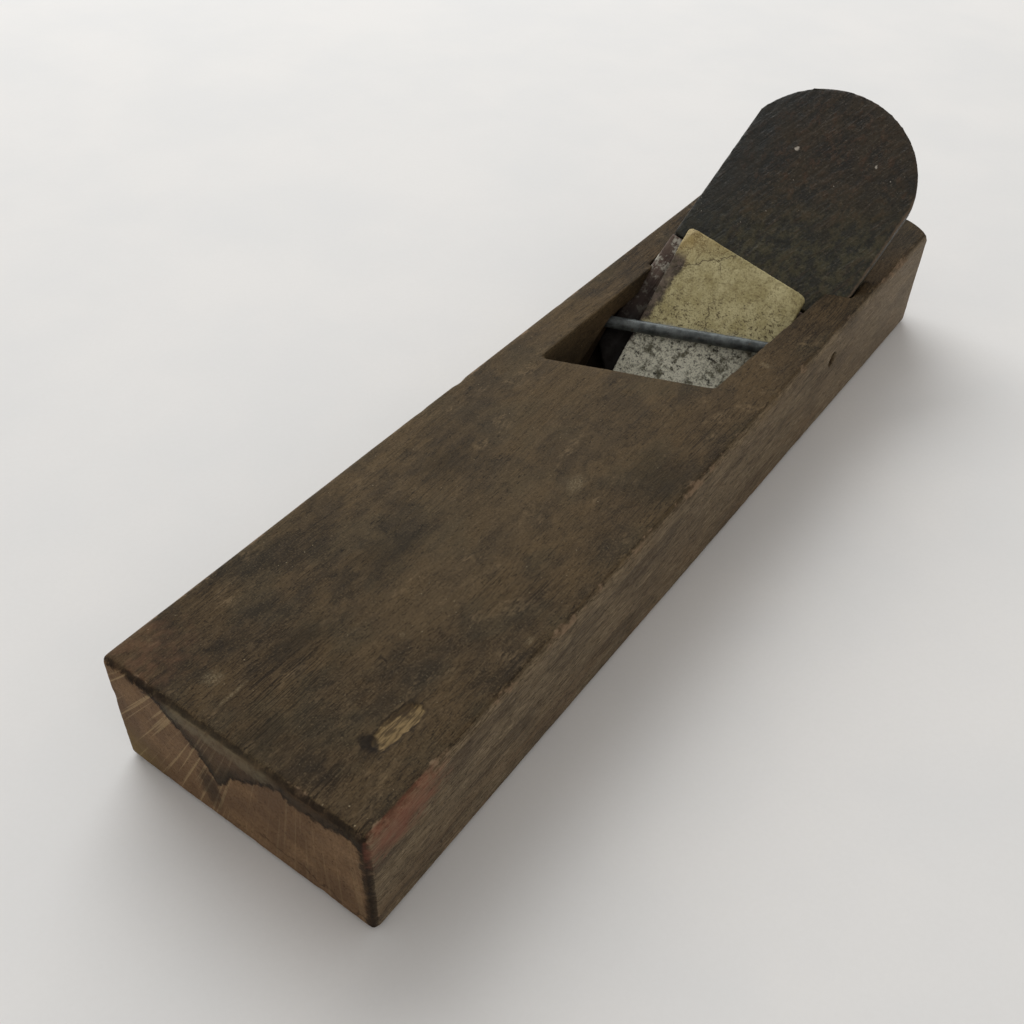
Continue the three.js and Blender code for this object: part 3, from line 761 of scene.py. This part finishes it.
    def gouged(self, wood):
        """The gouge: torn pale wood inside, dirt along its inner side, and a dark rim."""
        middle_x, middle_y = GOUGE_MIDDLE
        ragged = self.swing(self.noise((0.5, 1.6, 0.5), detail=4), 0.9)
        gouge = self.add(self.attribute("gouge"), ragged)
        rim_dirt = self.times(self.between(gouge, -0.9, -0.1), self.between(self.nz, 0.2, 0.5))
        wood = self.over(wood, rim_dirt, self.between(self.patch, 0.4, 0.6, 0.2, 0.7), "1f1812")
        torn = self.shades(self.noise((0.4, 2.6, 0.4), detail=4, shift=81), 0.38, 0.62, "4d3f2b", "806c4b")
        inner_side = self.add(self.less(middle_x, self.x), self.times(self.add(self.y, -middle_y), 0.25))
        caked = self.between(self.add(inner_side, self.swing(self.patch, 10.0)), 0.8, 2.2)
        torn = self.over(torn, caked, 0.8, "3a2e20")
        wood = self.mix(self.between(gouge, 0.05, 0.3), wood, torn)
        soot = self.spot((middle_x - 1.6, middle_y - 5.6, TOP), (2.2, 1.7, 3), 0.9, 1.0)
        return self.over(wood, soot, 0.8, "1a140f")

    def relief(self):
        height = self.add(self.times(self.fibres, 0.8), self.times(self.threads, 0.45))
        height = self.less(height, self.times(self.pores, 0.5))
        return self.add(height, self.times(self.grit, 0.4))


def wood_look():
    oak = Oak()
    wood = oak.mix(oak.times(oak.side, 0.85), oak.handled_top(), oak.grey_sides())
    wood = oak.worn_edges(oak.marked(oak.scuffed(oak.dirtied(wood))))
    end = oak.water_stained(oak.end_grain())
    wood = oak.mix(oak.times(oak.front, 0.97), wood, end)
    tail_end = oak.over(end, oak.between(oak.blotch, 0.4, 0.6), 0.5, "40352a")
    wood = oak.mix(oak.times(oak.tail, 0.85), wood, tail_end)
    wood = oak.gouged(oak.red_smear(oak.throat_painted_shade(oak.dirty_front_edges(wood))))
    rough = oak.add(oak.times(oak.fibres, 0.5), oak.times(oak.blotch, 0.5))
    rough = oak.between(rough, 0.3, 0.7, 0.78, 0.6)
    return oak.finish(wood, rough, oak.relief(), 0.75, 0.22, specular=0.1)


# ---- The metals ----------------------------------------------------------------------------------------
IRON_BROWN_ABOVE = 112.0  # along the iron from the block's origin: below this its scale is greener
iron_points = points_of(frame["nodes"]["iron_body"]) @ ACROSS_IRON
IRON_LEFT, IRON_RIGHT = float(iron_points.min()), float(iron_points.max())
IRON_CHIPS = ((-11.5, 108.8, 0.75), (8.9, 115.1, 0.5))  # across, up and radius of two bare spots


def iron_look():
    look = Look("iron_scale")
    across = look.along(ACROSS_IRON)
    up = look.along(UP_IRON)
    out = look.along(OUT_OF_IRON)
    place = look.joined(across, up, out)
    mottle = look.noise((6, 9, 6), place, detail=6, rough=0.65)
    rust = look.noise((2.2, 3.5, 2.2), place, detail=5, rough=0.7, shift=5)
    fine = look.noise(0.7, place, detail=4, rough=0.6, shift=7)
    leaning = look.joined(look.add(across, look.times(up, -0.35)), up, out)
    hammer = look.noise((1.1, 6.5, 1.1), leaning, detail=4, rough=0.6, shift=15)
    base = look.shades(mottle, 0.36, 0.64, "211e19", "383024")
    near_plate = look.between(
        look.less(up, look.times(across, 0.5)), IRON_BROWN_ABOVE, IRON_BROWN_ABOVE - 34
    )
    olive = look.shades(rust, 0.42, 0.6, "25261f", "46442f")
    base = look.mix(look.times(near_plate, 0.75), base, olive)
    rusty = look.times(look.between(rust, 0.5, 0.66), look.between(near_plate, 0.0, 1.0, 0.6, 0.15))
    base = look.mix(rusty, base, colour("4b3626"))
    base = look.over(base, look.between(hammer, 0.52, 0.66), 0.4, "463829")
    base = look.over(base, look.between(fine, 0.56, 0.68), 0.5, "100e0c")
    base = look.over(base, look.between(fine, 0.42, 0.34), 0.4, "5a5040")
    edge = look.attribute("edge")
    base = look.over(base, look.between(look.add(edge, look.swing(fine, 0.8)), 0.5, 1.0), 0.45, "5a4c3e")
    left_side = look.between(look.add(across, look.swing(mottle, 14.0)), IRON_LEFT + 16.0, IRON_LEFT + 4.0)
    base = look.over(base, left_side, 0.55, "262a2a")
    # Painted highlight: the worn right edge is painted paler, as where it catches the light.
    right_edge_highlight = look.times(
        look.between(across, IRON_RIGHT - 1.6, IRON_RIGHT - 0.5), look.between(edge, 0.15, 0.6)
    )
    base = look.over(base, right_edge_highlight, 0.45, "7a6653")
    crumbs = look.between(look.noise(1.0, place, detail=1.5, shift=27), 0.765, 0.79)
    base = look.over(base, crumbs, 0.8, "a59c90")
    for spot_across, spot_up, size in IRON_CHIPS:
        away = look.joined(look.add(across, -spot_across), look.add(up, -spot_up), 0.0)
        chip = look.add(look.vector("LENGTH", away), look.swing(fine, 1.4))
        base = look.mix(look.between(chip, size, size * 0.5), base, colour("a79f93"))
    rough = look.between(look.add(look.times(mottle, 0.6), look.times(fine, 0.4)), 0.35, 0.65, 0.42, 0.7)
    relief = look.add(look.times(mottle, 0.8), look.add(look.times(rust, 0.9), look.times(fine, 0.4)))
    relief = look.add(relief, look.times(hammer, 1.0))
    return look.finish(base, rough, relief, 0.9, 0.34, metallic=0.3, specular=0.4)


STEEL_CLEAN_ABOVE = 62.0  # along the iron from the block's origin: below this the steel is caked in grime


def steel_look():
    look = Look("hard_steel_corroded")
    place = look.joined(look.along(ACROSS_IRON), look.along(UP_IRON), look.along(OUT_OF_IRON))
    cloud = look.noise((3, 4, 3), place, detail=6, rough=0.68)
    fine = look.noise(0.6, place, detail=4, shift=3)
    scratch = look.noise((0.25, 9, 0.25), place, detail=2, shift=9)
    base = look.shades(cloud, 0.35, 0.62, "43342f", "64554c")
    base = look.over(base, look.between(scratch, 0.58, 0.7), 0.4, "8c857a")
    base = look.mix(
        look.between(look.noise(2.2, place, detail=6, rough=0.65, shift=12), 0.5, 0.62),
        base,
        colour("a8a498"),
    )
    base = look.over(base, look.between(fine, 0.6, 0.7), 0.5, "2a211c")
    up = look.along(UP_IRON)
    grimy = look.between(look.add(up, look.swing(cloud, 14.0)), STEEL_CLEAN_ABOVE, STEEL_CLEAN_ABOVE - 9.0)
    base = look.over(base, grimy, 0.75, "2b201b")
    height = look.parts(look.place)[2]
    shaded = look.between(look.add(height, look.swing(cloud, 5.0)), PIN_HEIGHT + 2.0, PIN_HEIGHT - 3.0)
    base = look.over(base, shaded, 0.9, "0d0a08")
    rough = look.between(cloud, 0.35, 0.65, 0.5, 0.75)
    relief = look.add(cloud, look.times(fine, 0.4))
    return look.finish(base, rough, relief, 0.5, 0.12, metallic=0.3, specular=0.3)


def lacquer_look():
    look = Look("chip_breaker_lacquer")
    across = look.along(ACROSS_IRON)
    up = look.along(UP_IRON)
    place = look.joined(across, up, look.along(OUT_OF_IRON))
    corners = np.array([corner.co for corner in frame["nodes"]["chip_breaker"].data.vertices]) / MM
    highest = float((corners @ UP_IRON).max())
    left, right = (float(f(corners @ ACROSS_IRON)) for f in (np.min, np.max))
    down = look.less(highest, up)  # from the plate's top edge
    cloud = look.noise((5, 7, 5), place, detail=6, rough=0.62)
    mottle = look.noise((1.5, 1.8, 1.5), place, detail=5, rough=0.7, shift=3)
    fine = look.noise(0.45, place, detail=3, shift=8)

    from_left = look.less(across, left)
    from_right = look.less(right, across)
    height = look.parts(look.place)[2]
    cream = look.shades(cloud, 0.34, 0.66, "a09568", "bfb68b")
    cream = look.over(cream, look.between(mottle, 0.48, 0.64), 0.4, "857650")
    cream = look.over(cream, look.between(fine, 0.52, 0.66), 0.55, "6d6042")
    cream = look.over(cream, look.between(fine, 0.44, 0.34), 0.35, "cfc59a")
    tan_reach = look.add(from_left, look.add(look.times(down, 0.8), look.swing(cloud, 14.0)))
    cream = look.over(cream, look.between(tan_reach, 15.0, 4.0), 0.4, "a5874f")
    web = look.vector("ADD", place, look.vector("SCALE", look.joined(cloud, mottle, fine), scale=3.0))
    web = look.between(look.cell_edges((3.6, 4.4, 3.6), web, 2.3), 0.07, 0.02)
    web = look.times(web, look.between(tan_reach, 20.0, 10.0))
    cream = look.over(cream, web, look.between(fine, 0.4, 0.55, 0.1, 0.6), "5c4a2a")

    # Under the pin the lacquer has gone white and scabby.
    bare = look.shades(look.add(mottle, look.swing(cloud, 0.6)), 0.34, 0.56, "6b6957", "e9e8d6")
    bare = look.over(bare, look.between(fine, 0.54, 0.64), 0.6, "55524a")
    holes = look.between(look.noise((1.7, 1.5, 1.7), place, detail=5, rough=0.7, shift=29), 0.585, 0.64)
    bare = look.over(bare, holes, 0.9, "24231c")
    bare = look.mix(
        look.between(look.add(from_right, look.swing(cloud, 16.0)), 11.0, 3.0), bare, colour("544d3c")
    )
    under_pin = look.add(height, look.swing(cloud, 5.0))
    lower = look.between(under_pin, PIN_HEIGHT + 0.6, PIN_HEIGHT - 1.6)
    base = look.mix(lower, cream, bare)

    # Rust freckles, thick near the right corner and just above the pin.
    above_pin = look.times(look.between(height, PIN_HEIGHT + 9.0, PIN_HEIGHT + 2.0), look.inverse(lower))
    freckle_zone = look.highest(look.between(from_right, 8.0, 0.5), above_pin)
    freckles = look.between(
        look.add(
            look.noise((0.8, 0.6, 0.7), place, detail=4, rough=0.75, shift=17), look.swing(mottle, 0.5)
        ),
        0.56,
        0.64,
    )
    freckles = look.times(freckles, look.add(look.times(freckle_zone, 0.7), 0.15))
    base = look.mix(freckles, base, colour("43361f"))
    pits = look.between(look.noise(0.6, place, detail=2, shift=19), 0.68, 0.73)
    base = look.over(base, pits, 0.75, "2c2519")

    # Two cracks in the lacquer: one runs from the left side up to the top edge, one from it down to the pin.
    waver = look.swing(look.noise((2.4, 2.4, 2.4), place, detail=5, rough=0.6, shift=23), 4.5)
    rising = look.add(look.add(look.times(from_left, 0.69), look.times(down, 0.72)), look.add(waver, -10.6))
    rising = look.times(look.between(look.size_of(rising), 0.32, 0.08), look.between(from_left, 16.0, 14.5))
    falling = look.add(
        look.less(look.times(from_left, 0.94), look.times(down, 0.34)), look.add(waver, -10.5)
    )
    falling = look.times(look.between(look.size_of(falling), 0.28, 0.06), look.between(down, 3.5, 5.0))
    falling = look.times(falling, look.between(look.noise((3, 3, 3), place, detail=2, shift=37), 0.40, 0.5))
    crack = look.highest(rising, look.times(falling, look.inverse(lower)))
    base = look.over(base, crack, 0.7, "463821")

    # Grime along the left side, where the plate meets the cheek, and lower down a near black painted shade
    # of the cheek along the plate's left edge.
    grime_edge = look.add(from_left, look.add(look.swing(cloud, 7.0), look.swing(mottle, 4.0)))
    grime = look.times(look.between(grime_edge, 5.4, 3.6), look.between(down, 6.0, 9.5))
    grime_tone = look.shades(mottle, 0.4, 0.6, "2f2522", "5e504a")
    base = look.mix(look.times(grime, 0.9), base, grime_tone)
    # Painted shade: below the pin's height the plate's left edge is painted near black, as the cheek's
    # shadow.
    cheek_painted_shade = look.times(look.between(from_left, 4.5, 1.0), look.between(height, PIN_HEIGHT, PIN_HEIGHT - 5.0))
    base = look.over(base, cheek_painted_shade, 0.85, "0d0b09")
    edge = look.attribute("edge")
    base = look.over(base, look.between(edge, 0.4, 1.0), 0.5, "6b5c3d")
    rough = look.between(cloud, 0.35, 0.65, 0.5, 0.68)
    relief = look.add(look.times(cloud, 0.3), look.add(look.times(mottle, 0.6), look.times(fine, 0.5)))
    relief = look.less(relief, look.add(freckles, look.add(crack, look.times(holes, lower))))
    return look.finish(base, rough, relief, 0.7, 0.14, metallic=0.0, specular=0.3)


def pin_look():
    look = Look("pin_steel")
    cloud = look.noise((2.5, 2.5, 2.5), detail=5, rough=0.6)
    fine = look.noise(0.4, detail=3, shift=5)
    base = look.shades(cloud, 0.35, 0.65, "464b4c", "6d7373")
    base = look.over(base, look.between(fine, 0.58, 0.7), 0.55, "33302c")
    base = look.over(base, look.between(look.noise(1.4, detail=4, shift=9), 0.62, 0.7), 0.5, "57402c")
    rough = look.between(cloud, 0.35, 0.65, 0.38, 0.55)
    return look.finish(base, rough, look.add(cloud, fine), 0.4, 0.08, metallic=0.4)


def floor_look():
    look = Look("paper_floor")
    cloud = look.noise(60, detail=3)
    fine = look.noise(0.9, detail=4, shift=4)
    base = look.shades(cloud, 0.3, 0.7, "e4e4e4", "e9e8e7")
    base = look.over(base, look.between(fine, 0.3, 0.7), 0.1, "dcdbd9")
    rough = look.between(cloud, 0.3, 0.7, 0.85, 0.95)
    return look.finish(base, rough, fine, 0.05, 0.1, specular=0.15)


# ---- The setting, in metres --------------------------------------------------------------------------
WORLD_TINT = (1.0, 0.965, 0.925, 1)
WORLD_STRENGTH = 0.46
WINDOW = {
    "place": (-1.15, 0.8, 1.15),
    "aim": (0, 0, 0),
    "size": (1.8, 1.4),
    "power": 27,
    "tint": (0.985, 1, 1),
}
FILL = {
    "place": (1.2, -0.45, 1.0),
    "aim": (0, -0.05, 0),
    "size": (1.4, 1.4),
    "power": 2,
    "tint": (1, 0.95, 0.89),
}
FLOOR_REACH = 3.0
FLOOR_DROP = 0.0001  # keeps the floor's plane apart from the sole's


def add_camera():
    data = bpy.data.cameras.new("camera")
    data.lens = CAMERA_LENS
    data.sensor_width = CAMERA_SENSOR
    data.clip_start, data.clip_end = CAMERA_CLIP
    camera = bpy.data.objects.new("camera", data)
    place = Vector(CAMERA_PLACE) * MM
    look = (Vector(CAMERA_AIM) * MM - place).normalized()
    level = look.cross(Vector((0, 0, 1))).normalized()
    upright = level.cross(look)
    roll = math.radians(CAMERA_ROLL)
    right = level * math.cos(roll) + upright * math.sin(roll)
    axes = Matrix((right, right.cross(look), -look)).transposed()
    camera.matrix_world = Matrix.Translation(place) @ axes.to_4x4()
    bpy.context.scene.collection.objects.link(camera)
    bpy.context.scene.camera = camera


def add_light(name, place, aim, size, power, tint):
    data = bpy.data.lights.new(name, "AREA")
    data.shape = "RECTANGLE"
    data.size, data.size_y = size
    data.energy = power
    data.color = tint
    light = bpy.data.objects.new(name, data)
    light.location = place
    light.rotation_euler = (Vector(aim) - Vector(place)).to_track_quat("-Z", "Y").to_euler()
    bpy.context.scene.collection.objects.link(light)


def add_setting():
    world = bpy.data.worlds.new("studio")
    world.use_nodes = True
    background = world.node_tree.nodes["Background"]
    background.inputs["Color"].default_value = WORLD_TINT
    background.inputs["Strength"].default_value = WORLD_STRENGTH
    bpy.context.scene.world = world
    add_light("window", **WINDOW)
    add_light("fill", **FILL)
    mesh = bpy.data.meshes.new("floor")
    corners = [(x * FLOOR_REACH, y * FLOOR_REACH, 0) for x, y in ((-1, -1), (1, -1), (1, 1), (-1, 1))]
    mesh.from_pydata(corners, [], [(0, 1, 2, 3)])
    floor = bpy.data.objects.new("floor", mesh)
    floor.location.z = -FLOOR_DROP
    bpy.context.scene.collection.objects.link(floor)
    mesh.materials.append(floor_look())
    bpy.context.scene.view_settings.view_transform = "Standard"


# ---- The assembly ------------------------------------------------------------------------------------
def fit(piece, body, node, look):
    piece.data.materials.clear()
    piece.data.materials.append(look)
    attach(piece, body)
    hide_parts(node)


add_camera()
add_setting()
fit(make_block(), "block", "plane_body", wood_look())
fit(make_pin(), "block", "cross_pin", pin_look())
fit(make_iron_back(), "iron", "iron_body", iron_look())
fit(make_iron_facing(), "iron", "iron_steel_facing", steel_look())
fit(make_chip_breaker(), "chip_breaker", "chip_breaker", lacquer_look())
